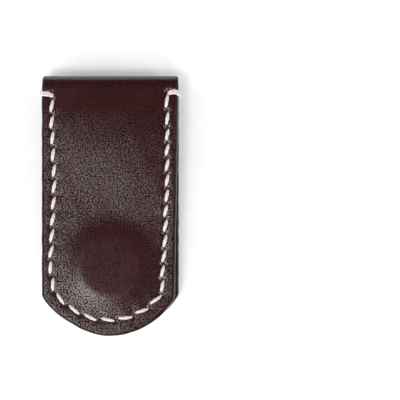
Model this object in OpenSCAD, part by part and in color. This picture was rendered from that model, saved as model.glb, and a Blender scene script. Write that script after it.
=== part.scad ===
// Magnetic leather money clip, lying closed on its back.
// One strip of leather folds over at the top, a lining is sewn inside each leaf,
// and a disc magnet between strip and lining holds each leaf to the other.
// The clip's width runs along X, its length along Y with the fold at +Y, and its thickness along Z.

/* [Clip] */
// Width of the strip at the fold
clip_w = 36; // [34:0.5:40]
// Width of a leaf where its rounded tip begins
tip_w = 35; // [33:0.5:36]
// Length from the crown of the fold to the tip
clip_len = 69; // [66:1:76]
// Radius of the rounded tip
tip_r = 20; // [19.5:0.5:24]
// Radius of the corner between a side and the tip
corner_r = 2; // [1.5:0.25:3]
// How far each leaf's tip leans to the left, seen from that leaf's own side
leaf_lean = 0.3; // [0:0.1:0.4]
// How much more a leaf is trimmed on its right side than on its left, where the tip begins
right_trim = 0.4; // [0:0.1:0.6]

/* [Leather] */
// Thickness of the outer strip
outer_t = 1.4; // [1.2:0.1:1.6]
// Thickness of each lining
lining_t = 1.1; // [1:0.1:1.3]
// Space between the two linings, away from the magnets
leaf_gap = 2; // [1.9:0.1:2.4]
// Thickness of the black coat on the cut edges
coat_t = 0.15; // [0.1:0.05:0.3]

/* [Magnets] */
// Diameter of each disc magnet
magnet_d = 18; // [15:1:19]
// Thickness of each disc magnet
magnet_t = 2; // [1.5:0.25:2]
// Chamfer round the magnet's faces
magnet_chamfer = 0.2; // [0.1:0.05:0.4]
// Distance from the crown of the fold to the magnet's centre
magnet_from_crown = 50.5; // [49:0.5:52]
// Width of the slope that the leather makes around a magnet
ramp_w = 2.4; // [1:0.2:2.6]

/* [Seams] */
// Diameter of the waxed thread
thread_d = 0.8; // [0.6:0.05:0.8]
// Distance from a side edge to the seam at the fold
seam_inset = 2.8; // [2.5:0.1:3.2]
// Distance from a side edge to the seam where its rounded end begins
seam_end_inset = 3.3; // [2.8:0.1:3.4]
// Distance from the tip to the seam
seam_tip_inset = 4.2; // [4:0.1:4.4]
// Radius of the seam's rounded end
seam_r = 17.7; // [17:0.1:19]
// Stitches down the left side
left_stitches = 12; // [10:1:13]
// Stitches along the rounded end
tip_stitches = 7; // [6:1:9]
// Stitches up the right side
right_stitches = 13; // [10:1:13]
// Distance from the crown of the fold to the bar stitch on the left of each leaf
left_bar_from_crown = 4.75; // [4.5:0.05:5.5]
// Distance from the crown of the fold to the bar stitch on the right of each leaf
right_bar_from_crown = 4.45; // [4.4:0.05:5.5]

/* [Hidden] */
$fn = 96;

leather_colour = [0.24, 0.10, 0.11];
lining_colour = [0.27, 0.12, 0.12];
magnet_colour = [0.75, 0.75, 0.77];
thread_colour = [0.93, 0.89, 0.83];
coat_colour = [0.06, 0.06, 0.07];

// Heights over the mid plane of the closed clip, for the front leaf
lining_z = leaf_gap / 2;
joint_z = lining_z + lining_t;
outer_z = joint_z + outer_t;

// Magnet pocket: the strip rises over the outer half, and the lining stops just short of the mid plane
magnet_gap = 0.05;
magnet_r = magnet_d / 2;
pocket_play = 0.02;
pad_wall = 0.6;
inner_rise = lining_z - magnet_gap;
outer_rise = magnet_t - inner_rise;
pad_r = magnet_r + pad_wall;
mid_z = outer_z + outer_rise;

// Places along the length
crown_y = clip_len / 2;
tip_y = -clip_len / 2;
fold_y = crown_y - outer_z;
magnet_y = crown_y - magnet_from_crown;

// Fold, as angles round its axis from the level that points to the crown
hinge_angle = 45;

// A leaf's outline, before the leaf leans: its sides end where they meet the rounded tip
arc_y = tip_y + tip_r;
edge_meets_tip_y = arc_y - sqrt(tip_r * tip_r - tip_w * tip_w / 4);
left_end_x = (tip_w + right_trim) / 2;
right_end_x = (tip_w - right_trim) / 2;
side_top = [clip_w / 2, fold_y];
corner_steps = 4;
tip_steps = 32;

// Seam
thread_r = thread_d / 2;
stitch_lean = 0.45;
thread_play = 0.02;
bend = 0.35;
steep_ring = 67.5;
shallow_ring = 22.5;
groove_depth = 0.3;
groove_half = 1;
groove_steps = 2;
slit_t = 1;
slit_n = 1.9;
bar_slit_play = [0.14, 0.1];
bar_pitch = 0.82;
bar_to_seam = 1.25;
stitches = left_stitches + tip_stitches + right_stitches;
seam_x = clip_w / 2 - seam_inset;
seam_arc_y = tip_y + seam_tip_inset + seam_r;
seam_left_angle = asin((left_end_x - seam_end_inset) / seam_r);
seam_right_angle = asin((right_end_x - seam_end_inset) / seam_r);
left_bar_y = crown_y - left_bar_from_crown;
right_bar_y = crown_y - right_bar_from_crown;
thread_sides = 6;
outer_thread_z = outer_z - groove_depth + thread_r + thread_play;
inner_thread_z = lining_z + groove_depth - thread_r - thread_play;
cut_h = 20;

function mix(a, b, t) = a + (b - a) * t;
function polar(r, a) = [r * cos(a), r * sin(a)];
function flipped(points) = [for (p = points) [-p[0], p[1]]];
function turned(v) = [-v[1], v[0]];
function unit(v) = v / norm(v);
function reversed(list) = [for (i = [len(list) - 1:-1:0]) list[i]];

// A point of a leaf, moved sideways by the leaf's lean, which is none at the fold
function leaned(p) = [p[0] - leaf_lean * (fold_y - p[1]) / (fold_y - edge_meets_tip_y), p[1]];

// ---------- outlines ----------

// Right half of an outline whose side ends at end_x, moved inwards by inset, from top_y to the tip
function half_outline(inset, top_y, end_x) =
    let (dir = unit([end_x, arc_y - sqrt(tip_r * tip_r - end_x * end_x)] - side_top),
         inward = [dir[1], -dir[0]],
         base = side_top + corner_r * inward - [0, arc_y],
         b = base * dir,
         c = base * base - pow(tip_r - corner_r, 2),
         corner = base + dir * (-b + sqrt(b * b - c)),
         from = atan2(-inward[1], -inward[0]),
         to = atan2(corner[1], corner[0]))
    concat(
        [[side_top[0] + ((top_y - fold_y) * dir[0] + inset) / dir[1], top_y]],
        [for (i = [0:corner_steps])
            [0, arc_y] + corner + polar(corner_r - inset, mix(from, to, i / corner_steps))],
        [for (i = [1:tip_steps / 2])
            [0, arc_y] + polar(tip_r - inset, mix(to, -90, i / (tip_steps / 2)))]
    );

function leaf_outline(inset, top_y) =
    let (right = half_outline(inset, top_y, right_end_x),
         whole_left = flipped(half_outline(inset, top_y, left_end_x)),
         left = [for (i = [0:len(whole_left) - 2]) whole_left[i]])
    [for (p = concat(right, reversed(left))) leaned(p)];

module leaf_plate(inset, low, high, top_y) {
    translate([0, 0, low])
        linear_extrude(high - low)
            polygon(leaf_outline(inset, top_y));
}

// Stretch of the fold between two angles round its axis, from x0 to x1
module fold_sector(from, to, x0, x1) {
    reach = 2 * outer_z;
    translate([x0, fold_y, 0])
        rotate([90, 0, 90])
            linear_extrude(x1 - x0)
                intersection() {
                    difference() {
                        circle(outer_z);
                        circle(joint_z);
                    }
                    polygon([[0, 0], polar(reach, from), polar(reach, to)]);
                }
}

// ---------- seam path: hole 0 is under the left bar stitch, the last under the right one ----------

function seam_arc_point(angle) = [0, seam_arc_y] + polar(seam_r, angle - 90);

function seam_point(k) = leaned(
    k <= left_stitches
        ? mix([-seam_x, left_bar_y - bar_to_seam], seam_arc_point(-seam_left_angle), k / left_stitches)
    : k >= left_stitches + tip_stitches
        ? mix([seam_x, right_bar_y - bar_to_seam], seam_arc_point(seam_right_angle),
              (stitches - k) / right_stitches)
    : seam_arc_point(mix(-seam_left_angle, seam_right_angle, (k - left_stitches) / tip_stitches))
);

// Direction along the seam at a hole, and the direction from it to the leaf's edge
function seam_along(k) = unit(seam_point(min(k + 1, stitches)) - seam_point(max(k - 1, 0)));
function seam_outward(k) = -turned(seam_along(k));
function hole_at(k, lean) = seam_point(k) + lean * stitch_lean * seam_outward(k);

module seam_slits() {
    for (k = [0:stitches])
        translate([seam_point(k)[0], seam_point(k)[1], 0])
            rotate(atan2(seam_along(k)[1], seam_along(k)[0]))
                cube([slit_t, slit_n, cut_h], center = true);
    bar_slit(-1, left_bar_y);
    bar_slit(1, right_bar_y);
}

// Slot that the bar stitch's two turns pass through
module bar_slit(side, bar_y) {
    translate([side * seam_x, bar_y, 0])
        cube([thread_d + bar_slit_play[0], bar_pitch + thread_d + bar_slit_play[1], cut_h], center = true);
}

// Shallow groove that the stitches lie in, from low up to low + cut_h
module seam_groove(low) {
    spots = [for (k = [0:1 / groove_steps:stitches]) k];
    translate([0, 0, low])
        linear_extrude(cut_h)
            polygon(concat(
                [for (k = spots) seam_point(k) + groove_half * seam_outward(k)],
                reversed([for (k = spots) seam_point(k) - groove_half * seam_outward(k)])
            ));
}

// ---------- thread: rings swept along a route ----------

// Places and ring axes of one stitch, over the strip (up = 1) or under the lining (up = -1)
function stitch_from(k, up) = hole_at(k, -up);
function stitch_to(k, up) = hole_at(k + 1, up);
function stitch_rings(k, up) =
    let (a = stitch_from(k, up), b = stitch_to(k, up), dir = unit(b - a),
         z = up > 0 ? outer_thread_z : inner_thread_z,
         side = [turned(dir)[0], turned(dir)[1], 0],
         spots = [[a, z - up * bend, steep_ring], [a + bend * dir, z, shallow_ring],
                  [b - bend * dir, z, -shallow_ring], [b, z - up * bend, -steep_ring]])
    [for (s = spots)
        let (heading = [cos(s[2]) * dir[0], cos(s[2]) * dir[1], up * sin(s[2])])
        [[s[0][0], s[0][1], s[1]], side, cross(heading, side)]];

// One needle's end of the thread: over and under by turns, starting over the strip if first is 1
function strand_rings(first) =
    [for (k = [0:stitches - 1]) each stitch_rings(k, k % 2 == 0 ? first : -first)];

// One turn of a bar stitch: through the slot, over the strip, round the edge and back
function bar_rings(side, y) =
    let (x_in = seam_x, x_out = clip_w / 2 + thread_r + 2 * thread_play,
         top = outer_z + thread_r + thread_play, low = lining_z - thread_r - thread_play,
         loop = [[x_in, low + bend], [x_in, top - bend], [x_in + bend, top], [x_out - bend, top],
                 [x_out, top - bend], [x_out, low + bend], [x_out - bend, low], [x_in + bend, low]],
         n = len(loop))
    [for (i = [0:n - 1])
        let (heading = unit(unit(loop[(i + 1) % n] - loop[i]) + unit(loop[i] - loop[(i + n - 1) % n])))
        [[side * loop[i][0], y, loop[i][1]], [0, side, 0],
         cross([side * heading[0], 0, heading[1]], [0, side, 0])]];

module tube(rings, closed) {
    n = len(rings);
    m = thread_sides;
    points = [for (ring = rings) for (j = [0:m - 1])
        ring[0] + thread_r * (cos(360 * j / m) * ring[1] + sin(360 * j / m) * ring[2])];
    spans = closed ? n - 1 : n - 2;
    walls = [for (i = [0:spans]) for (j = [0:m - 1])
        let (a = i * m + j, b = i * m + (j + 1) % m,
             c = ((i + 1) % n) * m + j, d = ((i + 1) % n) * m + (j + 1) % m)
        each [[a, b, c], [b, d, c]]];
    caps = closed ? [] : [
        [for (j = [m - 1:-1:0]) j],
        [for (j = [0:m - 1]) (n - 1) * m + j]
    ];
    polyhedron(points, concat(walls, caps));
}

// ---------- sub-parts of one leaf, as the front one ----------

module leaf_outer_leather() {
    difference() {
        union() {
            leaf_plate(coat_t, joint_z, outer_z, fold_y);
            fold_sector(hinge_angle, 90, -clip_w / 2 + coat_t, clip_w / 2 - coat_t);
            translate([0, magnet_y, outer_z])
                cylinder(h = outer_rise, r1 = pad_r + ramp_w, r2 = pad_r);
        }
        translate([0, magnet_y, joint_z - 1])
            cylinder(h = outer_rise + 1, r = magnet_r + pocket_play);
        seam_slits();
        seam_groove(outer_z - groove_depth);
    }
}

module leaf_lining() {
    difference() {
        union() {
            leaf_plate(coat_t, lining_z, joint_z, fold_y);
            translate([0, magnet_y, lining_z - inner_rise])
                cylinder(h = inner_rise, r1 = pad_r, r2 = pad_r + ramp_w);
        }
        translate([0, magnet_y, joint_z - inner_rise])
            cylinder(h = inner_rise + 1, r = magnet_r + pocket_play);
        seam_slits();
        seam_groove(lining_z + groove_depth - cut_h);
    }
}

module leaf_magnet() {
    face_r = magnet_r - magnet_chamfer;
    translate([0, magnet_y, joint_z - inner_rise])
        rotate_extrude()
            polygon([[0, 0], [face_r, 0], [magnet_r, magnet_chamfer], [magnet_r, magnet_t - magnet_chamfer],
                     [face_r, magnet_t], [0, magnet_t]]);
}

module leaf_seam_thread() {
    tube(strand_rings(1), false);
    tube(strand_rings(-1), false);
    for (turn = [-0.5, 0.5]) {
        tube(bar_rings(-1, left_bar_y + turn * bar_pitch), true);
        tube(bar_rings(1, right_bar_y + turn * bar_pitch), true);
    }
}

// The coat covers the cut edge of strip and lining together, and the strip's edge round the fold
module leaf_edge_coat() {
    difference() {
        leaf_plate(0, lining_z, outer_z, fold_y);
        leaf_plate(coat_t, lining_z - 1, outer_z + 1, fold_y + 1);
    }
    side_coats(hinge_angle, 90);
}

module side_coats(from, to) {
    fold_sector(from, to, -clip_w / 2, -clip_w / 2 + coat_t);
    fold_sector(from, to, clip_w / 2 - coat_t, clip_w / 2);
}

// ---------- places ----------

module on_front() {
    translate([0, 0, mid_z])
        children();
}

// The back leaf is the front one turned over about the clip's length
module on_back() {
    translate([0, 0, mid_z])
        rotate([0, 180, 0])
            children();
}

module back_outer_leather() { color(leather_colour) on_back() leaf_outer_leather(); }
module front_outer_leather() { color(leather_colour) on_front() leaf_outer_leather(); }
module back_lining() { color(lining_colour) on_back() leaf_lining(); }
module front_lining() { color(lining_colour) on_front() leaf_lining(); }
module back_magnet() { color(magnet_colour) on_back() leaf_magnet(); }
module front_magnet() { color(magnet_colour) on_front() leaf_magnet(); }
module back_seam_thread() { color(thread_colour) on_back() leaf_seam_thread(); }
module front_seam_thread() { color(thread_colour) on_front() leaf_seam_thread(); }
module back_edge_coat() { color(coat_colour) on_back() leaf_edge_coat(); }
module front_edge_coat() { color(coat_colour) on_front() leaf_edge_coat(); }

module fold_outer_leather() {
    color(leather_colour)
        on_front()
            fold_sector(-hinge_angle, hinge_angle, -clip_w / 2 + coat_t, clip_w / 2 - coat_t);
}

module fold_edge_coat() {
    color(coat_colour)
        on_front()
            side_coats(-hinge_angle, hinge_angle);
}

back_outer_leather();
fold_outer_leather();
front_outer_leather();
back_lining();
front_lining();
back_magnet();
front_magnet();
back_seam_thread();
front_seam_thread();
back_edge_coat();
fold_edge_coat();
front_edge_coat();
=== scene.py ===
"""Looks of the leather money clip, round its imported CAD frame. Shapes are worked out in millimetres.

A leaf is described flat, seen from its own grain side: x across, y along the strip towards the fold, and
h the height over the closed clip's mid plane. Past FOLD_Y the strip's y runs on round the fold, as far as
CROWN_FLAT at its crown.
"""

import math

import bpy
import numpy as np
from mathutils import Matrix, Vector

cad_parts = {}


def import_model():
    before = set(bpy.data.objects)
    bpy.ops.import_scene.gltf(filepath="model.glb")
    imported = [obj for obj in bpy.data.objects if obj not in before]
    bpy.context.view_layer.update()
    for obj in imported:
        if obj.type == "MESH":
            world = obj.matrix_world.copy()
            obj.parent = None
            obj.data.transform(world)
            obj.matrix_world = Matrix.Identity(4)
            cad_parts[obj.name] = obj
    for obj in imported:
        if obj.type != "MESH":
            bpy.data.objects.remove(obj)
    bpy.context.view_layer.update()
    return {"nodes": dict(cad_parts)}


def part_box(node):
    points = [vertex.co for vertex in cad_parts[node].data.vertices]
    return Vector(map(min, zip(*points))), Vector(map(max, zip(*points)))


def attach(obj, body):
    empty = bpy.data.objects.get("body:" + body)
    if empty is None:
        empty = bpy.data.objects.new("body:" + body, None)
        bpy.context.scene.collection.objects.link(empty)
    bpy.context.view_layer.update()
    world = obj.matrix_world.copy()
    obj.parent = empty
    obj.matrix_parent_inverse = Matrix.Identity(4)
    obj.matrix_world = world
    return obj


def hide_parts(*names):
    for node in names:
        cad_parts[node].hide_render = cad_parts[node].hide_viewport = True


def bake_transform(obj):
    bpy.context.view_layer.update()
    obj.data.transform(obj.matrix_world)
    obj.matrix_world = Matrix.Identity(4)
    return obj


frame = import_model()

MM = 0.001


def box_mm(node):
    low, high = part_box(node)
    return np.array(low) / MM, np.array(high) / MM


# ---------- driving sizes, from the frame where it holds them ----------

coat_low, coat_high = box_mm("front_edge_coat")
fold_low, fold_high = box_mm("fold_outer_leather")
lining_low, lining_high = box_mm("front_lining")
strip_high = box_mm("front_outer_leather")[1]
magnet_low, magnet_high = box_mm("front_magnet")

MID_Z = (fold_low[2] + fold_high[2]) / 2
CROWN_Y = fold_high[1]
TIP_Y = coat_low[1]
FOLD_Y = lining_high[1]
HALF_W = coat_high[0]
OUTER_H = CROWN_Y - FOLD_Y
JOINT_H = lining_high[2] - MID_Z
LINING_H = coat_low[2] - MID_Z
DOME_RISE = strip_high[2] - MID_Z - OUTER_H
PAD_RISE = LINING_H - (lining_low[2] - MID_Z)
MAGNET_Y = (magnet_low[1] + magnet_high[1]) / 2
MAGNET_R = (magnet_high[0] - magnet_low[0]) / 2
CROWN_FLAT = FOLD_Y + OUTER_H * math.pi / 2
LINING_TOP_Y = FOLD_Y - 0.05
LINING_END_R = 0.45

# Outline of a leaf, before it leans
TIP_HALF_W = HALF_W - 0.5
LEFT_END_X = TIP_HALF_W + 0.2
RIGHT_END_X = TIP_HALF_W - 0.2
TIP_R = 20
LEFT_TIP_TRIM = 0.6
CORNER_R = 2.0
LEAN = 0.3
ARC_Y = TIP_Y + TIP_R
MEET_Y = ARC_Y - math.sqrt(TIP_R**2 - TIP_HALF_W**2)

# Rounded edges and their paint
EDGE_R = 0.7
EDGE_INSET = 0.05
PAINT_T = 0.07
PAINT_START = 72
BELLY = 0.10

# Seams
SEAM_INSET = 2.8
SEAM_END_INSET = 3.3
SEAM_TIP_INSET = 4.2
SEAM_X = HALF_W - SEAM_INSET
SEAM_R = 17.7
SEAM_ARC_Y = TIP_Y + SEAM_TIP_INSET + SEAM_R
SEAM_LEFT_ANGLE = math.asin((LEFT_END_X - SEAM_END_INSET) / SEAM_R)
SEAM_RIGHT_ANGLE = math.asin((RIGHT_END_X - SEAM_END_INSET) / SEAM_R)
LEFT_STITCHES = 12
TIP_STITCHES = 7
RIGHT_STITCHES = 13
STITCHES = LEFT_STITCHES + TIP_STITCHES + RIGHT_STITCHES
LEFT_BAR_Y = CROWN_Y - 5.0
RIGHT_BAR_Y = CROWN_Y - 4.45
LEFT_SEAM_Y = CROWN_Y - 6.0
RIGHT_SEAM_Y = CROWN_Y - 5.7
BAR_HALF_PITCH = 0.29
BAR_HIDDEN_H = 2.2
STITCH_LEAN = 0.45
THREAD_R = 0.43
BAR_THREAD_R = 0.40

# Bar stitches, on the left (-1) and the right (1): their y, then how far their inner and their outer end are
# drawn down, and where their hole is
BAR_Y = {-1: LEFT_BAR_Y, 1: RIGHT_BAR_Y}
BAR_SHAPES = {-1: (0.45, -0.1, SEAM_X), 1: (0.25, 0.55, SEAM_X + 0.4)}

# Depths and heights that tight stitches give the leather
GROOVE_DEPTH = 0.10
PUCKER_H = 0.055
HOLE_DEPTH = 0.46
BAR_TRENCH_DEPTH = 0.12
BAR_HOLE_DEPTH = 0.25

# Bowing of the leaves, which a part bent from a straight strip has
BOW_RISE = 0.8
BOW_CREST_Y = 19
BOW_END_Y = -4
BOW_SKEW = 0.15
BOW_SIDE_DROP = 0.6
DOME_TILT = 0.022
SAG = 0.42

# Mesh steps
ROW_STEP = 0.25
SEAM_BAND = 5.4
THREAD_STEP = 0.2

# Where the strip's inner face and the linings lie in the leather's own coordinates
INNER_LEVEL = -1.4
LINING_SHIFT = 60

# Random seeds. The side, 1 or -1, is added to the last three, so that each leaf has its own.
FRONT, BACK = 1, -1
SEAM_SEEDS = {FRONT: 11, BACK: 23}
STRIP_SEED = 5
PAINT_SEED = 40
LINING_SEED = 60


def smoothstep(t):
    t = np.clip(t, 0, 1)
    return t * t * (3 - 2 * t)


def unit(v):
    return v / np.linalg.norm(v, axis=-1, keepdims=True)


# ---------- the leaf's shape ----------


def leaned(points):
    """Moves points of a leaf sideways by its lean, which starts at the fold."""
    down = np.maximum(0, FOLD_Y - points[..., 1]) / (FOLD_Y - MEET_Y)
    return np.stack([points[..., 0] - LEAN * down, points[..., 1]], axis=-1)


def bow(x, y):
    """How far the leaf bows outwards between the fold and the magnet, a little askew."""
    along = y + BOW_SKEW * x
    rise = smoothstep((CROWN_FLAT + 1 - along) / (CROWN_FLAT + 1 - BOW_CREST_Y))
    fall = smoothstep((along - BOW_END_Y) / (BOW_CREST_Y - BOW_END_Y))
    return BOW_RISE * rise * fall * (1 - BOW_SIDE_DROP * (x / SEAM_X) ** 2)


def place(x, y, h):
    """Position in the closed clip, over the mid plane, of a point at height h over the flat strip."""
    angle = np.maximum(0, y - FOLD_Y) / OUTER_H
    lift = h + bow(x, y) - sag(x, y)
    return np.stack([x, np.minimum(y, FOLD_Y) + h * np.sin(angle), lift * np.cos(angle)], axis=-1)


def half_rim(top_y, step, end_x, trim):
    """Right half of an outline whose side ends at end_x, before it leans.

    Returns its points and outward normals, as far as the tip, and where each row meets the middle. Rows
    have the same numbers on either half. The cut round the tip runs inside its true arc by up to trim.
    """
    top = np.array([HALF_W, FOLD_Y])
    side_dir = unit(np.array([end_x, ARC_Y - math.sqrt(TIP_R**2 - end_x**2)]) - top)
    inward = np.array([side_dir[1], -side_dir[0]])
    base = top + CORNER_R * inward - [0, ARC_Y]
    b = base @ side_dir
    c = base @ base - (TIP_R - CORNER_R) ** 2
    corner = base + side_dir * (-b + math.sqrt(b * b - c)) + [0, ARC_Y]
    start = corner - CORNER_R * inward
    from_angle = math.atan2(-inward[1], -inward[0])
    to_angle = math.atan2(corner[1] - ARC_Y, corner[0])

    points, normals = [], []
    if top_y > FOLD_Y:
        for y in [top_y, top_y - 0.05, top_y - 0.12, *np.arange(top_y - step, FOLD_Y + step / 2, -step)]:
            points.append([HALF_W, y])
            normals.append([1, 0])
        first = top
    else:
        first = top + side_dir * (FOLD_Y - top_y)
    count = math.ceil((FOLD_Y - MEET_Y) / step)
    for i in range(count):
        points.append(first + (start - first) * i / count)
        normals.append(-inward)
    count = 10
    for angle in np.linspace(from_angle, to_angle, count + 1)[:-1]:
        outward = np.array([math.cos(angle), math.sin(angle)])
        points.append(corner + CORNER_R * outward)
        normals.append(outward)
    count = math.ceil(0.9 * TIP_R / step)
    for angle in np.linspace(to_angle, -math.pi / 2, count + 1):
        outward = np.array([math.cos(angle), math.sin(angle)])
        share = (angle - to_angle) / (-math.pi / 2 - to_angle)
        points.append([0, ARC_Y] + (TIP_R - trim * math.sin(math.pi * share) ** 2) * outward)
        normals.append(outward)
    points, normals = np.array(points), np.array(normals, float)
    points[-1, 0] = 0

    lengths = np.concatenate([[0], np.cumsum(np.linalg.norm(np.diff(points, axis=0), axis=1))])
    gather_y, last_y = -2.0, -20.0
    below = points[:, 1] < gather_y
    first_below = int(np.argmax(below))
    share = (lengths - lengths[first_below]) / (lengths[-1] - lengths[first_below])
    middle_y = np.where(below, gather_y + (last_y - gather_y) * share, points[:, 1])
    return points, normals, middle_y


def leaf_rims(top_y, step):
    """Left and right halves of a leaf's outline, and where their rows meet the middle."""
    left, left_normals, _ = half_rim(top_y, step, LEFT_END_X, LEFT_TIP_TRIM)
    right, right_normals, middle_y = half_rim(top_y, step, RIGHT_END_X, 0)
    return left * [-1, 1], left_normals * [-1, 1], right, right_normals, middle_y


def half_grid(points, normals, middle, edge_insets, inner_columns):
    """Points and insets along straight rows from one half of an outline to the middle."""
    reach = np.linalg.norm(middle - points, axis=1)
    ray = (middle - points) / reach[:, None]
    square = -np.sum(ray * normals, axis=1)
    edge = edge_insets[None, :] / square[:, None]
    last = edge[:, -1:]
    inner = last + (reach[:, None] - last) * np.linspace(0, 1, inner_columns + 1)[None, 1:]
    along = np.hstack([edge, inner])
    grid = points[:, None, :] + ray[:, None, :] * along[:, :, None]
    grid[:, -1, 0] = 0
    return grid, along * square[:, None]


def leaf_grid(rims, edge_insets, inner_columns):
    """Rows of points across a leaf from its left edge to its right one, their insets and vertex numbers."""
    left_rim, left_normals, right_rim, right_normals, middle_y = rims
    middle = np.stack([np.zeros(len(middle_y)), middle_y], axis=-1)
    left, left_inset = half_grid(left_rim, left_normals, middle, edge_insets, inner_columns)
    right, right_inset = half_grid(right_rim, right_normals, middle, edge_insets, inner_columns)
    grid = np.concatenate([left, right[:, -2::-1]], axis=1)
    inset = np.concatenate([left_inset, right_inset[:, -2::-1]], axis=1)
    rows, columns = grid.shape[:2]
    number = np.arange(rows * columns).reshape(rows, columns)
    centre = columns // 2
    number[-1, :centre] = number[-1, :centre:-1]
    number[-1, centre] = number[-2, centre]
    return leaned(grid), inset, number


def quads(number):
    """Faces between neighbouring rows and columns of vertex numbers, with repeated corners left out."""
    corners = np.stack([number[:-1, :-1], number[1:, :-1], number[1:, 1:], number[:-1, 1:]], axis=-1)
    faces = []
    for face in corners.reshape(-1, 4).tolist():
        kept = [v for i, v in enumerate(face) if v != face[i - 1]]
        if len(set(kept)) >= 3:
            faces.append(kept)
    return faces


# ---------- seam ----------


def seam_points(k):
    """Points of the seam at stitch numbers k, from the left bar stitch round the tip to the right one."""
    k = np.asarray(k, float)
    on_tip = (k - LEFT_STITCHES) / TIP_STITCHES
    angle = -SEAM_LEFT_ANGLE + (SEAM_LEFT_ANGLE + SEAM_RIGHT_ANGLE) * np.clip(on_tip, 0, 1)
    tip = np.stack([SEAM_R * np.sin(angle), SEAM_ARC_Y - SEAM_R * np.cos(angle)], axis=-1)
    left_top = np.array([-SEAM_X, LEFT_SEAM_Y])
    right_top = np.array([SEAM_X, RIGHT_SEAM_Y])
    left = tip + (left_top - tip) * np.clip(1 - k / LEFT_STITCHES, 0, 1)[..., None]
    right = tip + (right_top - tip) * np.clip((k - STITCHES) / RIGHT_STITCHES + 1, 0, 1)[..., None]
    return leaned(np.where((on_tip < 0)[..., None], left, np.where((on_tip > 1)[..., None], right, tip)))


def seam_normals(k):
    """Directions from the seam towards the leaf's edge."""
    along = unit(seam_points(np.minimum(k + 0.5, STITCHES)) - seam_points(np.maximum(k - 0.5, 0)))
    return np.stack([along[..., 1], -along[..., 0]], axis=-1)


class Seam:
    """One leaf's seam, with the small unevenness of hand sewing."""

    def __init__(self, seed):
        random = np.random.default_rng(seed)
        k = np.arange(STITCHES + 1)
        self.outward = seam_normals(k)
        down = 0.12 - 0.4 * np.exp(-(((k - 5) / 1.6) ** 2)) + 0.85 * np.exp(-(((k - 10) / 1.8) ** 2))
        up = 0.77 * np.sin(np.clip((STITCHES - k) / RIGHT_STITCHES, 0, 1) * math.pi) - 0.17
        drift = np.where(k < LEFT_STITCHES, down, np.where(k > LEFT_STITCHES + TIP_STITCHES, up, 0))
        wander = drift + random.normal(0, 0.06, STITCHES + 1)
        along = np.stack([-self.outward[:, 1], self.outward[:, 0]], axis=-1)
        # The last stitch on the right is drawn up beside its bar stitch
        slip = random.normal(0, 0.07, STITCHES + 1) + 1.35 * np.exp(-(((STITCHES - k) / 0.9) ** 2))
        self.holes = seam_points(k) + self.outward * wander[:, None] + along * slip[:, None]
        self.lean = STITCH_LEAN + random.normal(0, 0.05, STITCHES + 1)
        fine = np.linspace(0, STITCHES, STITCHES * 8 + 1)
        self.fine = fine
        self.path = np.stack([np.interp(fine, k, self.holes[:, axis]) for axis in (0, 1)], axis=-1)
        round_tip = (fine > LEFT_STITCHES) & (fine < LEFT_STITCHES + TIP_STITCHES)
        self.path[round_tip] = (seam_points(fine)
                                + seam_normals(fine) * np.interp(fine, k, wander)[:, None])[round_tip]
        self.path_out = seam_normals(fine)
        self.bars = np.array([[sign * BAR_SHAPES[sign][2], bar_y] for sign, bar_y in BAR_Y.items()])

    def end(self, k, side):
        """Where a stitch enters hole k: side is +1 towards the leaf's edge and -1 away from it."""
        return self.holes[k] + side * self.lean[k] * self.outward[k]

    def relief(self, x, y):
        """Height that the tightened stitches give the leather: a groove, dimples at the holes and puckers."""
        points = np.stack([x, y], axis=-1).reshape(-1, 2)
        out = np.zeros(len(points))
        near = np.abs(points[:, 1]) < FOLD_Y + 4
        some = points[near]
        nearest = np.zeros(len(some), int)
        for start in range(0, len(some), 8000):
            part = some[start:start + 8000]
            gap = ((part[:, None, :] - self.path[None, :, :]) ** 2).sum(axis=2)
            nearest[start:start + 8000] = np.argmin(gap, axis=1)
        offset = some - self.path[nearest]
        across = np.sum(offset * self.path_out[nearest], axis=1)
        away = np.linalg.norm(offset, axis=1)
        k = self.fine[nearest]
        # Past the ends of the seam the pull fades quickly
        groove = GROOVE_DEPTH * np.exp(-((away / 0.75) ** 2))
        wave = np.cos(2 * np.pi * k)
        inside = np.clip(-across - 0.5, 0, None)
        inner_pucker = np.exp(-inside / 1.5) * smoothstep(away / 0.9)
        pucker = np.where(across < 0, inner_pucker, 0.45 * np.exp(-away / 1.2))
        height = -groove - PUCKER_H * wave * pucker
        for k in range(STITCHES + 1):
            gap = some - self.holes[k]
            side = gap @ self.outward[k]
            forward = gap @ np.array([-self.outward[k][1], self.outward[k][0]])
            slant = forward + 0.35 * side
            height = height - HOLE_DEPTH * np.exp(-((side / 0.7) ** 2) - (slant / 0.42) ** 2)
        for bar in self.bars:
            gap = some - bar
            inner = np.sign(bar[0]) * gap[:, 0]
            trench = np.exp(-((gap[:, 1] / 0.85) ** 4)) * smoothstep((inner + 0.35) / 0.5)
            height = height - BAR_TRENCH_DEPTH * trench
            height = height - BAR_HOLE_DEPTH * np.exp(-((inner / 0.5) ** 2) - (gap[:, 1] / 0.75) ** 2)
        out[near] = height
        return out.reshape(np.shape(x))


# ---------- height of each surface ----------

DRAPE_R = np.arange(0, 22, 0.02)


def draped(flat_r, foot_r, roundness, power):
    """Profile over a disc, from 1 on top to 0 at foot_r, with its shoulder and foot rounded."""
    share = np.clip((DRAPE_R - flat_r) / (foot_r - flat_r), 0, 1)
    sharp = (1 - share) ** power
    kernel = np.exp(-((np.arange(-3, 3.01, 0.02) / roundness) ** 2))
    padded = np.concatenate([np.full(150, 1.0), sharp, np.zeros(150)])
    return np.convolve(padded, kernel / kernel.sum(), mode="valid")


DOME = draped(MAGNET_R - 0.5, MAGNET_R + 4.6, 1.45, 1.5)
PAD = draped(MAGNET_R + 0.35, MAGNET_R + 3.6, 0.4, 1.7)
LIFT = draped(MAGNET_R + 0.3, MAGNET_R + 3.4, 0.12, 2.2)


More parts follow.
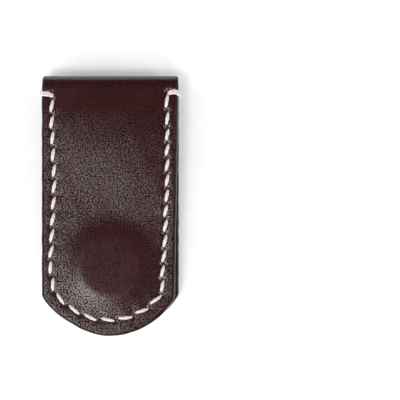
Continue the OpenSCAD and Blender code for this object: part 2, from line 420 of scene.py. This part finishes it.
def over_magnet(x, y, profile):
    return np.interp(np.hypot(x, y - MAGNET_Y), DRAPE_R, profile)


def edge_drop(inset):
    """How far a rounded edge falls below its face, near the outline."""
    inner = np.clip(EDGE_R + EDGE_INSET - inset, 0, EDGE_R)
    return EDGE_R - np.sqrt(EDGE_R**2 - inner**2)


def ripple(x, y, seed, size):
    """Slow unevenness of the hide."""
    random = np.random.default_rng(seed)
    total = np.zeros(np.shape(x))
    for _ in range(9):
        angle = random.uniform(0, math.pi)
        length = random.uniform(5, 16)
        phase = random.uniform(0, 2 * math.pi)
        total = total + np.sin((x * math.cos(angle) + y * math.sin(angle)) * 2 * math.pi / length + phase)
    return size * total / 3


def sag(x, y):
    """How far the leaf sinks towards the right-hand side of its tip, where the magnet doesn't hold it out."""
    return SAG * smoothstep((x - 2) / 16) * smoothstep((4 - y) / 18) * (1 - over_magnet(x, y, DOME))


def strip_outer_h(x, y, inset, seam, seed):
    fade = smoothstep((CROWN_FLAT - y) / 6)
    fade_sides = smoothstep((inset - 0.5) / 2)
    dome = over_magnet(x, y, DOME)
    tilt = DOME_TILT * (x + y - MAGNET_Y + 1.45 * MAGNET_R)
    h = OUTER_H + (DOME_RISE - tilt) * dome
    h = h + seam.relief(x, y) * smoothstep(inset / 0.9)
    return h + ripple(x, y, seed, 0.03) * fade * fade_sides * (1 - dome) - edge_drop(inset)


def strip_inner_h(x, y, inset):
    on_fold = smoothstep((y - FOLD_Y + 0.6) / 0.6)
    return JOINT_H + DOME_RISE * over_magnet(x, y, LIFT) + edge_drop(inset) * on_fold


def lining_face_h(x, y, inset, seam, seed):
    end = np.clip(LINING_END_R - (LINING_TOP_Y - y), 0, LINING_END_R)
    h = LINING_H - PAD_RISE * over_magnet(x, y, PAD) - seam.relief(x, y) * smoothstep(inset / 0.9)
    h = h + ripple(x, y, seed, 0.02) * smoothstep((inset - 0.5) / 2)
    return h + edge_drop(inset) + LINING_END_R - np.sqrt(LINING_END_R**2 - end**2)


def lining_back_h(x, y):
    return JOINT_H - 0.01 - PAD_RISE * over_magnet(x, y, LIFT)


# ---------- meshes ----------


def make_object(name, points_mm, faces, body_side, material, co):
    """A mesh object in the row frame. body_side is FRONT, or BACK for a leaf that is turned over."""
    points = points_mm * [body_side, 1, body_side] + [0, 0, MID_Z]
    mesh = bpy.data.meshes.new(name)
    mesh.from_pydata((points * MM).tolist(), [], faces)
    mesh.shade_smooth()
    attribute = mesh.attributes.new("strip_co", "FLOAT_VECTOR", "POINT")
    attribute.data.foreach_set("vector", np.asarray(co, np.float32).ravel())
    mesh.materials.append(material)
    obj = bpy.data.objects.new(name, mesh)
    bpy.context.scene.collection.objects.link(obj)
    return obj


def drop_unused(points, faces, extra):
    """Leaves out the points that no face uses."""
    used = np.zeros(len(points), bool)
    used[[v for face in faces for v in face]] = True
    renumber = np.cumsum(used) - 1
    return points[used], [[int(renumber[v]) for v in face] for face in faces], extra[used]


def closed_sheet(top_number, bottom_number, offset):
    """Faces of a sheet between two grids with the same rows: both faces, its rim and its top end."""
    low = bottom_number + offset
    faces = quads(top_number)
    faces += [face[::-1] for face in quads(low)]
    for column in (0, -1):
        wall = np.stack([top_number[:, column], low[:, column]], axis=1)
        side = quads(wall)
        faces += side if column == -1 else [face[::-1] for face in side]
    faces.append(top_number[0].tolist() + low[0][::-1].tolist())
    return faces


# Insets of the columns near the edge
EDGE_COLUMNS = np.concatenate([[0.05, 0.06, 0.09, 0.14, 0.21, 0.3, 0.4, 0.52, 0.65, 0.8],
                               np.arange(1.0, SEAM_BAND, 0.2)])
PLAIN_EDGE = [0.05, 0.07, 0.14, 0.25, 0.4, 0.6, 0.8]
COARSE_COLUMNS = np.concatenate([PLAIN_EDGE, np.arange(1.2, SEAM_BAND, 0.6)])
LINING_COLUMNS = np.concatenate([PLAIN_EDGE, np.arange(1.1, SEAM_BAND, 0.28)])


def strip_half(name, side, seam, seed, material):
    """Half of the outer strip, from its tip to the crown of the fold."""
    rims = leaf_rims(CROWN_FLAT, ROW_STEP)
    top, top_inset, top_number = leaf_grid(rims, EDGE_COLUMNS, 34)
    low, low_inset, low_number = leaf_grid(rims, COARSE_COLUMNS, 24)
    tx, ty = top[..., 0], top[..., 1]
    lx, ly = low[..., 0], low[..., 1]
    outer = place(tx, ty, strip_outer_h(tx, ty, top_inset, seam, seed)).reshape(-1, 3)
    inner = place(lx, ly, strip_inner_h(lx, ly, low_inset)).reshape(-1, 3)
    points = np.vstack([outer, inner])
    faces = closed_sheet(top_number, low_number, len(outer))
    flat = np.concatenate([top.reshape(-1, 2), low.reshape(-1, 2)])
    from_crown = side * (CROWN_FLAT - flat[:, 1])
    level = np.concatenate([np.zeros(len(outer)), np.full(len(inner), INNER_LEVEL)])
    co = np.stack([flat[:, 0] * side, from_crown, level], axis=-1)
    points, faces, co = drop_unused(points, faces, co)
    return make_object(name, points, faces, side, material, co)


def lining(name, side, seam, seed, material):
    """A lining with its rounded edges and the pad over its magnet."""
    grid, inset, number = leaf_grid(leaf_rims(LINING_TOP_Y, 0.3), LINING_COLUMNS, 26)
    x, y = grid[..., 0], grid[..., 1]
    face = place(x, y, lining_face_h(x, y, inset, seam, seed)).reshape(-1, 3)
    back = place(x, y, lining_back_h(x, y)).reshape(-1, 3)
    points = np.vstack([face, back])
    faces = [f[::-1] for f in closed_sheet(number, number, len(face))]
    flat = grid.reshape(-1, 2)
    co = np.stack([flat[:, 0] * side + LINING_SHIFT, flat[:, 1] * side, np.zeros(len(flat))], axis=-1)
    points, faces, co = drop_unused(points, faces, np.vstack([co, co]))
    return make_object(name, points, faces, side, material, co)


def edge_section(low_h):
    """Cross-section of the painted edge as (outwards, height): its outer side, then back over the leather."""
    high = OUTER_H
    shoulder = high - EDGE_R
    steps = np.linspace(PAINT_START, 0, 9)
    skin = EDGE_R + PAINT_T * smoothstep((PAINT_START - steps) / 24)
    angles = np.radians(steps)
    top = np.stack([skin * np.cos(angles) - EDGE_R - EDGE_INSET, shoulder + skin * np.sin(angles)], axis=-1)
    bottom = np.stack([top[::-1, 0], low_h + high - top[::-1, 1]], axis=-1)
    flat = high - low_h - 2 * EDGE_R
    belly = []
    for share in (0.25, 0.5, 0.75):
        swell = BELLY * math.sin(math.pi * share) * min(1, flat)
        belly.append([PAINT_T - EDGE_INSET + swell, shoulder - share * flat])
    inner_x = -EDGE_INSET - 0.12
    inside = [[top[0, 0], low_h + 0.06], [inner_x, low_h + EDGE_R * 0.7], [inner_x, high - EDGE_R * 0.7],
              [top[0, 0], high - 0.06]]
    return np.vstack([top, belly, bottom, inside])


def painted_edge(name, side, seed, material):
    """The black paint round one leaf's edge, and round the strip's edge up to the crown of the fold."""
    random = np.random.default_rng(seed)
    left, left_normals, right, right_normals, _ = leaf_rims(CROWN_FLAT, 0.3)
    points = np.vstack([right, left[-2::-1]])
    normals = np.vstack([right_normals, left_normals[-2::-1]])
    steps = np.concatenate([[0], np.cumsum(np.linalg.norm(np.diff(points, axis=0), axis=1))])
    uneven = np.zeros(len(points))
    for _ in range(8):
        length = random.uniform(3, 11)
        uneven += np.sin(steps * 2 * math.pi / length + random.uniform(0, 6)) * 0.012
    rings, co = [], []
    for point, normal, swell, s in zip(points, normals, uneven, steps):
        low_h = LINING_H + (JOINT_H - LINING_H) * smoothstep((point[1] - FOLD_Y + 1.1) / 0.6)
        section = edge_section(float(low_h))
        outer_count = len(section) - 4
        section[:outer_count, 0] += swell * np.sin(np.linspace(0, math.pi, outer_count))
        flat = leaned(point + section[:, :1] * normal)
        rings.append(place(flat[:, 0], flat[:, 1], section[:, 1]))
        co.append(np.stack([np.full(len(section), s), section[:, 1], section[:, 0]], axis=-1))
    rows, around = len(rings), len(rings[0])
    number = np.arange(rows * around).reshape(rows, around)
    number = np.hstack([number, number[:, :1]])
    faces = [face[::-1] for face in quads(number)]
    faces += [number[0, :-1].tolist(), number[-1, :-1].tolist()[::-1]]
    return make_object(name, np.vstack(rings), faces, side, material, np.vstack(co))


# ---------- thread ----------


def resampled(points, step):
    steps = np.linalg.norm(np.diff(points[:, :3], axis=0), axis=1)
    lengths = np.concatenate([[0], np.cumsum(steps)])
    spots = np.linspace(0, lengths[-1], max(4, int(lengths[-1] / step)))
    return np.stack([np.interp(spots, lengths, column) for column in points.T], axis=-1), spots


def softened(points, passes, closed):
    for _ in range(passes):
        if closed:
            points = (np.roll(points, 1, axis=0) + 2 * points + np.roll(points, -1, axis=0)) / 4
        else:
            middle = (points[:-2] + 2 * points[1:-1] + points[2:]) / 4
            points = np.vstack([points[:1], middle, points[-1:]])
    return points


def twine(path, closed, radius, turn_mm, sides):
    """Points, faces and lengthwise coordinates of a two-ply thread along a path of (x, y, z, plumpness)."""
    path, spots = resampled(path, THREAD_STEP)
    if closed:
        path, spots = path[:-1], spots[:-1]
    path, plump = path[:, :3], path[:, 3:]
    count = len(path)
    if closed:
        heading = unit(np.roll(path, -1, axis=0) - np.roll(path, 1, axis=0))
    else:
        heading = unit(np.gradient(path, axis=0))
    across = np.zeros_like(path)
    guess = np.array([0.3, 0.9, 0.2])
    for i in range(count):
        guess = guess - heading[i] * (guess @ heading[i])
        guess = guess / np.linalg.norm(guess)
        across[i] = guess
    other = np.cross(heading, across)
    total = spots[-1] + (THREAD_STEP if closed else 0)
    turns = max(1, round(total / turn_mm))
    twist = 2 * math.pi * turns * spots / total
    if closed:
        first, last = across[0], across[-1]
        gap = math.atan2(np.cross(last, first) @ heading[0], last @ first)
        twist = twist + gap * spots / total
    points, faces, co = [], [], []
    ply_r, ply_off = radius * plump * 0.86, radius * plump * 0.18
    for ply in (0, 1):
        angle = twist + ply * math.pi
        centre = path + ply_off * (np.cos(angle)[:, None] * across + np.sin(angle)[:, None] * other)
        base = ply * count * sides
        number = base + np.arange(count * sides).reshape(count, sides)
        lines, line_co = [], []
        for j in range(sides):
            turn = angle + 2 * math.pi * j / sides
            lines.append(centre + ply_r * (np.cos(turn)[:, None] * across + np.sin(turn)[:, None] * other))
            ring_share = np.full(count, j / sides)
            line_co.append(np.stack([spots, ring_share, np.full(count, float(ply))], axis=-1))
        points.append(np.stack(lines, axis=1).reshape(-1, 3))
        co.append(np.stack(line_co, axis=1).reshape(-1, 3))
        grid = np.hstack([number, number[:, :1]])
        if closed:
            grid = np.vstack([grid, grid[:1]])
        faces += quads(grid)
        if not closed:
            faces += [number[0].tolist()[::-1], number[-1].tolist()]
    return np.vstack(points), faces, np.vstack(co)


# How far along a stitch, how high over the leather, and how plump
STITCH_SHAPE = [(0.0, -1.5, 0.55), (0.05, -1.2, 0.55), (0.10, -0.78, 0.62), (0.17, -0.36, 0.75),
                (0.26, 0.0, 0.92), (0.38, 0.14, 1.05), (0.5, 0.18, 1.1), (0.62, 0.14, 1.05),
                (0.74, 0.0, 0.92), (0.83, -0.36, 0.75), (0.90, -0.78, 0.62), (0.95, -1.2, 0.55),
                (1.0, -1.5, 0.55)]


def stitch(seam, k, face):
    """One stitch over the strip (face 1) or under the lining (face -1), from hole k to the next."""
    start, end = seam.end(k, -face), seam.end(k + 1, face)
    points = []
    for share, rise, plump in STITCH_SHAPE:
        x, y = start + (end - start) * share
        if face > 0:
            h = OUTER_H + DOME_RISE * over_magnet(x, y, DOME) + rise
        else:
            h = LINING_H - PAD_RISE * over_magnet(x, y, PAD) - rise
        points.append([*place(np.array(x), np.array(y), h), plump])
    return points


def strand(seam, first):
    """One needle's thread: over and under by turns."""
    points = []
    for k in range(STITCHES):
        points += stitch(seam, k, first if k % 2 == 0 else -first)
    return softened(resampled(np.array(points), 0.12)[0], 2, False)


def bar_turn(side_sign, bar_y, turn):
    """One turn of a bar stitch, round the leaf's edge, drawn down at its inner end towards the seam."""
    top, low = OUTER_H + 0.26, LINING_H - 0.26
    out_x = HALF_W + BAR_THREAD_R * 0.75
    drop, slant, hole_x = BAR_SHAPES[side_sign]
    hole_y = bar_y + turn * BAR_HALF_PITCH * 0.5 - drop
    near_y = bar_y + turn * BAR_HALF_PITCH - 0.25 * drop
    edge_y = bar_y + turn * BAR_HALF_PITCH
    far_y = edge_y - slant
    corner = 0.95
    bend = out_x - corner
    hidden = (hole_x, BAR_HIDDEN_H, hole_y)
    route = [hidden, (hole_x, OUTER_H - 0.5, hole_y), (hole_x + 0.25, OUTER_H + 0.12, hole_y),
             (hole_x + 0.8, top, near_y), (SEAM_X + 1.6, top, edge_y), (bend, top, edge_y)]
    for angle in np.radians([20, 45, 70]):
        route.append((bend + corner * math.sin(angle), top - corner + corner * math.cos(angle),
                      edge_y + (far_y - edge_y) * math.sin(angle)))
    route += [(out_x, top - corner, far_y), (out_x, low + corner, far_y)]
    for angle in np.radians([70, 45, 20]):
        route.append((bend + corner * math.sin(angle), low + corner - corner * math.cos(angle),
                      edge_y + (far_y - edge_y) * math.sin(angle)))
    route += [(bend, low, edge_y), (SEAM_X + 1.6, low, edge_y), (hole_x + 0.8, low, near_y),
              (hole_x + 0.25, LINING_H - 0.12, hole_y), (hole_x, LINING_H + 0.5, hole_y), hidden]
    points = [[*place(np.array(side_sign * x), np.array(y), h), 1.0] for x, h, y in route]
    points = resampled(np.array(points), 0.12)[0]
    return softened(points[:-1], 3, True)


def seam_thread(name, side, seam, material):
    """All the thread of one leaf: two strands through the same holes, and two bar stitches of two turns."""
    parts = [twine(strand(seam, first), False, THREAD_R, 2.8, 10) for first in (1, -1)]
    for sign, bar_y in BAR_Y.items():
        for turn in (-1, 1):
            loop = bar_turn(sign, bar_y, turn)
            parts.append(twine(np.vstack([loop, loop[:1]]), True, BAR_THREAD_R, 2.6, 8))
    points, faces, co, start = [], [], [], 0
    for part_points, part_faces, part_co in parts:
        points.append(part_points)
        faces += [[v + start for v in face] for face in part_faces]
        co.append(part_co)
        start += len(part_points)
    return make_object(name, np.vstack(points), faces, side, material, np.vstack(co))


# ---------- materials ----------


BLACK = (0, 0, 0)
WHITE = (1, 1, 1)
SHADER_SOCKETS = {"base": "Base Color", "roughness": "Roughness", "metallic": "Metallic",
                  "specular": "Specular IOR Level", "sheen": "Sheen Weight",
                  "sheen_roughness": "Sheen Roughness", "normal": "Normal"}


class Nodes:
    """A material's node tree, with short ways to add and join nodes."""

    def __init__(self, name):
        self.material = bpy.data.materials.new(name)
        self.material.use_nodes = True
        self.tree = self.material.node_tree
        self.shader = self.tree.nodes["Principled BSDF"]

    def join(self, source, target):
        self.tree.links.new(source, target)

    def math(self, operation, a, b):
        node = self.tree.nodes.new("ShaderNodeMath")
        node.operation = operation
        for socket, value in zip(node.inputs, (a, b)):
            if isinstance(value, (int, float)):
                socket.default_value = value
            else:
                self.join(value, socket)
        return node.outputs[0]

    def vector_math(self, operation, a, b=None):
        node = self.tree.nodes.new("ShaderNodeVectorMath")
        node.operation = operation
        self.join(a, node.inputs[0])
        if b is not None:
            node.inputs[1].default_value = b
        return node.outputs["Value" if operation == "DISTANCE" else "Vector"]

    def map_range(self, value, from_min, from_max, to_min):
        """A smooth step from to_min up to 1."""
        node = self.tree.nodes.new("ShaderNodeMapRange")
        node.interpolation_type = "SMOOTHSTEP"
        self.join(value, node.inputs["Value"])
        node.inputs["From Min"].default_value = from_min
        node.inputs["From Max"].default_value = from_max
        node.inputs["To Min"].default_value = to_min
        return node.outputs[0]

    def ramp(self, source, stops):
        node = self.tree.nodes.new("ShaderNodeValToRGB")
        elements = node.color_ramp.elements
        while len(elements) < len(stops):
            elements.new(0.5)
        for element, (position, colour) in zip(elements, stops):
            element.position = position
            element.color = (*colour, 1)
        self.join(source, node.inputs[0])
        return node.outputs[0]

    def mix(self, factor, a, b, blend="MIX"):
        node = self.tree.nodes.new("ShaderNodeMix")
        node.data_type = "RGBA"
        node.blend_type = blend
        for socket, value in ((node.inputs[0], factor), (node.inputs[6], a), (node.inputs[7], b)):
            if isinstance(value, (int, float)):
                socket.default_value = value
            elif isinstance(value, tuple):
                socket.default_value = (*value, 1)
            else:
                self.join(value, socket)
        return node.outputs[2]

    def strip_co(self):
        """The piece's own coordinates, which bend with it. They are in millimetres, except round a thread."""
        node = self.tree.nodes.new("ShaderNodeAttribute")
        node.attribute_name = "strip_co"
        return node.outputs["Vector"]

    def object_co(self):
        return self.tree.nodes.new("ShaderNodeTexCoord").outputs["Object"]

    def noise(self, vector, scale, detail, roughness):
        node = self.tree.nodes.new("ShaderNodeTexNoise")
        self.join(vector, node.inputs["Vector"])
        node.inputs["Scale"].default_value = scale
        node.inputs["Detail"].default_value = detail
        node.inputs["Roughness"].default_value = roughness
        return node.outputs[0]

    def cells(self, vector, scale):
        """Soft cells across x and y, as pebbled grain has."""
        node = self.tree.nodes.new("ShaderNodeTexVoronoi")
        node.feature = "SMOOTH_F1"
        node.voronoi_dimensions = "2D"
        node.inputs["Randomness"].default_value = 0.8
        self.join(vector, node.inputs["Vector"])
        node.inputs["Scale"].default_value = scale
        node.inputs["Smoothness"].default_value = 0.3
        return node.outputs[0]

    def bump(self, height, distance):
        node = self.tree.nodes.new("ShaderNodeBump")
        node.inputs["Strength"].default_value = 1.0
        node.inputs["Distance"].default_value = distance
        self.join(height, node.inputs["Height"])
        return node.outputs[0]

    def set(self, **values):
        """Sets or joins the shader's sockets, by the short names in SHADER_SOCKETS."""
        for key, value in values.items():
            socket = self.shader.inputs[SHADER_SOCKETS[key]]
            if isinstance(value, bpy.types.NodeSocket):
                self.join(value, socket)
            elif isinstance(value, tuple):
                socket.default_value = (*value, 1)
            else:
                socket.default_value = value


def warped(nodes, vector, scale, amount):
    """The coordinates, pushed about by noise, so that cells don't look regular."""
    noise = nodes.tree.nodes.new("ShaderNodeTexNoise")
    nodes.join(vector, noise.inputs["Vector"])
    noise.inputs["Scale"].default_value = scale
    push = nodes.tree.nodes.new("ShaderNodeVectorMath")
    push.operation = "MULTIPLY_ADD"
    nodes.join(noise.outputs["Color"], push.inputs[0])
    push.inputs[1].default_value = (amount, amount, amount)
    nodes.join(vector, push.inputs[2])
    return push.outputs[0]


def leather_material(name, dark, light, grain, cell_mm, roughness, smooth_mm):
    """Pebbled leather, with bumps of the height grain in metres and cells of cell_mm.

    Its grain is pulled smooth within smooth_mm of the crown of the fold, and over the magnet.
    """
    nodes = Nodes(name)
    co = nodes.strip_co()
    pebble = nodes.cells(warped(nodes, co, 0.8, 0.35), 1 / cell_mm)
    pores = nodes.noise(co, 2.6, 2.0, 0.5)
    grit = nodes.math("ADD", nodes.math("MULTIPLY", pebble, -1.0), nodes.math("MULTIPLY", pores, 0.25))
    mirrored = nodes.vector_math("ABSOLUTE", co)
    split = nodes.tree.nodes.new("ShaderNodeSeparateXYZ")
    nodes.join(mirrored, split.inputs[0])
    swerve = nodes.math("MULTIPLY", nodes.noise(co, 0.25, 2.0, 0.5), 6.0)
    from_crown = nodes.math("ADD", split.outputs["Y"], swerve)
    from_magnet = nodes.vector_math("DISTANCE", mirrored, (0, CROWN_FLAT - MAGNET_Y, 0))
    off_magnet = nodes.map_range(from_magnet, MAGNET_R - 2, MAGNET_R + 4, 0.4)
    off_fold = nodes.map_range(from_crown, smooth_mm - 2, smooth_mm + 4, 0.12)
    relief = nodes.math("MULTIPLY", off_fold, off_magnet)
    height = nodes.math("MULTIPLY", grit, relief)
    patches = nodes.noise(co, 0.11, 4.0, 0.55)
    mottle = nodes.noise(co, 0.9, 3.0, 0.6)
    tone = nodes.math("ADD", nodes.math("MULTIPLY", patches, 0.6), nodes.math("MULTIPLY", mottle, 0.4))
    colour = nodes.mix(nodes.ramp(tone, [(0.35, BLACK), (0.65, WHITE)]), dark, light)
    # Painted shade: the colour is darkened in the grain's creases, down to 0.7 of itself, and multiplied into
    # the leather's colour below
    painted_crease_shade = nodes.ramp(nodes.math("ADD", height, 1.0), [(0.35, (0.7, 0.65, 0.65)), (0.75, WHITE)])
    colour = nodes.mix(1.0, colour, painted_crease_shade, "MULTIPLY")
    rough = nodes.math("ADD", nodes.math("MULTIPLY", mottle, 0.16), roughness - 0.08)
    rough = nodes.math("SUBTRACT", rough, nodes.math("MULTIPLY", height, 0.06))
    cavity = nodes.math("MULTIPLY", nodes.math("ADD", grit, 0.3), relief)
    shine = nodes.math("ADD", nodes.math("MULTIPLY", cavity, 2.5), 0.5)
    nodes.set(base=colour, roughness=rough, specular=shine, normal=nodes.bump(height, grain))
    return nodes.material


def paint_material(name):
    nodes = Nodes(name)
    co = nodes.strip_co()
    drag = nodes.noise(co, 1.3, 4.0, 0.6)
    dust = nodes.noise(co, 9.0, 2.0, 0.5)
    colour = nodes.ramp(drag, [(0.3, (0.003, 0.003, 0.003)), (0.7, (0.009, 0.008, 0.008))])
    rough = nodes.math("ADD", nodes.math("MULTIPLY", drag, 0.14), 0.12)
    height = nodes.math("ADD", nodes.math("MULTIPLY", drag, 0.7), nodes.math("MULTIPLY", dust, 0.12))
    nodes.set(base=colour, roughness=rough, specular=0.1, normal=nodes.bump(height, 0.00004))
    return nodes.material


def thread_material(name):
    nodes = Nodes(name)
    co = nodes.strip_co()
    drawn_out = nodes.vector_math("MULTIPLY", co, (0.9, 14.0, 5.0))
    fibres = nodes.noise(drawn_out, 1.6, 3.0, 0.6)
    wax = nodes.noise(co, 1.1, 3.0, 0.55)
    colour = nodes.ramp(fibres, [(0.25, (0.48, 0.415, 0.40)), (0.6, (0.66, 0.60, 0.585))])
    waxed = nodes.ramp(wax, [(0.4, BLACK), (0.75, (0.5, 0.5, 0.5))])
    colour = nodes.mix(waxed, colour, (0.56, 0.49, 0.435))
    rough = nodes.math("ADD", nodes.math("MULTIPLY", wax, 0.25), 0.36)
    nodes.set(base=colour, roughness=rough, specular=0.45, sheen=0.15, sheen_roughness=0.4,
              normal=nodes.bump(fibres, 0.00005))
    return nodes.material


def magnet_material(name):
    nodes = Nodes(name)
    co = nodes.object_co()
    scuffs = nodes.noise(co, 900.0, 4.0, 0.6)
    blur = nodes.noise(co, 160.0, 3.0, 0.5)
    colour = nodes.ramp(blur, [(0.3, (0.60, 0.58, 0.54)), (0.7, (0.74, 0.72, 0.68))])
    rough = nodes.math("ADD", nodes.math("MULTIPLY", scuffs, 0.2), 0.16)
    nodes.set(base=colour, roughness=rough, metallic=1.0, normal=nodes.bump(scuffs, 0.000012))
    return nodes.material


def floor_material(name):
    nodes = Nodes(name)
    co = nodes.object_co()
    tooth = nodes.noise(co, 300.0, 3.0, 0.5)
    colour = nodes.ramp(tooth, [(0.3, (0.90, 0.90, 0.90)), (0.7, (0.93, 0.93, 0.93))])
    nodes.set(base=colour, roughness=0.9, specular=0.1)
    return nodes.material


# ---------- building the clip ----------

oxblood = leather_material("oxblood_leather", dark=(0.018, 0.0034, 0.0035), light=(0.029, 0.0062, 0.0070),
                           grain=0.000055, cell_mm=0.44, roughness=0.26, smooth_mm=13)
# smooth_mm is below zero and LINING_SHIFT is large, so none of the linings' grain is pulled smooth
lining_hide = leather_material("lining_leather", dark=(0.030, 0.0085, 0.008), light=(0.050, 0.015, 0.0135),
                               grain=0.00004, cell_mm=0.4, roughness=0.5, smooth_mm=-9)
edge_paint = paint_material("black_edge_paint")
waxed_thread = thread_material("waxed_cream_thread")
nickel = magnet_material("nickel_plating")


def bend_at_fold(piece, side):
    """Bakes the piece's placement into its mesh, the same for either side; it is not attached to any body
    here.
    """
    if side == BACK:
        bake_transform(piece)
    else:
        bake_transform(piece)


for side, leaf, word in ((FRONT, "front_leaf", "front"), (BACK, "back_leaf", "back")):
    seam = Seam(SEAM_SEEDS[side])
    strip = strip_half(f"{word}_strip_half", side, seam, STRIP_SEED + side, oxblood)
    bend_at_fold(strip, side)
    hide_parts(f"{word}_outer_leather", "fold_outer_leather")

    paint = painted_edge(f"{word}_painted_edge", side, PAINT_SEED + side, edge_paint)
    bend_at_fold(paint, side)
    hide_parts(f"{word}_edge_coat", "fold_edge_coat")

    inner = lining(f"{word}_sewn_lining", side, seam, LINING_SEED + side, lining_hide)
    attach(inner, leaf)
    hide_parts(f"{word}_lining")

    thread = seam_thread(f"{word}_saddle_stitching", side, seam, waxed_thread)
    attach(thread, leaf)
    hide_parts(f"{word}_seam_thread")

    magnet = frame["nodes"][f"{word}_magnet"]
    magnet.data.materials.clear()
    magnet.data.materials.append(nickel)


# ---------- floor, light and camera ----------


AIM_MM = (0, 0, 5)


def floor():
    size = 3.0
    mesh = bpy.data.meshes.new("floor")
    corners = [(-size, -size, 0), (size, -size, 0), (size, size, 0), (-size, size, 0)]
    mesh.from_pydata(corners, [], [(0, 1, 2, 3)])
    mesh.materials.append(floor_material("pale_floor"))
    obj = bpy.data.objects.new("floor", mesh)
    bpy.context.scene.collection.objects.link(obj)


def softbox(name, place_mm, width_mm, height_mm, watts):
    """A rectangular light that faces the clip."""
    light = bpy.data.lights.new(name, "AREA")
    light.shape = "RECTANGLE"
    light.size = width_mm * MM
    light.size_y = height_mm * MM
    light.energy = watts
    obj = bpy.data.objects.new(name, light)
    obj.location = Vector(place_mm) * MM
    aim = Vector(AIM_MM) * MM - obj.location
    obj.rotation_mode = "QUATERNION"
    obj.rotation_quaternion = aim.to_track_quat("-Z", "Y")
    bpy.context.scene.collection.objects.link(obj)


def camera():
    """Looks straight down at the middle of the picture, which is to this clip's right."""
    picture_mm = 106.6
    distance = 400
    centre_x, centre_y = 23.8, 1.45
    data = bpy.data.cameras.new("camera")
    data.lens = data.sensor_width * distance / picture_mm
    data.clip_start, data.clip_end = 0.01, 20
    obj = bpy.data.objects.new("camera", data)
    obj.location = Vector((centre_x, centre_y, MID_Z + distance)) * MM
    bpy.context.scene.collection.objects.link(obj)
    bpy.context.scene.camera = obj


def world(strength):
    scene_world = bpy.data.worlds.new("studio")
    scene_world.use_nodes = True
    background = scene_world.node_tree.nodes["Background"]
    background.inputs["Color"].default_value = (1, 1, 1, 1)
    background.inputs["Strength"].default_value = strength
    bpy.context.scene.world = scene_world


floor()
camera()
world(0.05)
softbox("sheen_softbox", (-190, -230, 620), 240, 240, 1.7)
softbox("left_softbox", (-560, 80, 260), 700, 300, 3.4)
softbox("right_softbox", (560, 60, 260), 700, 300, 4.3)
softbox("front_softbox", (60, -560, 280), 600, 300, 3.2)
softbox("front_left_softbox", (-420, -400, 280), 400, 300, 1.9)
softbox("back_left_softbox", (-400, 560, 60), 500, 120, 0.35)
bpy.context.scene.view_settings.view_transform = "Standard"
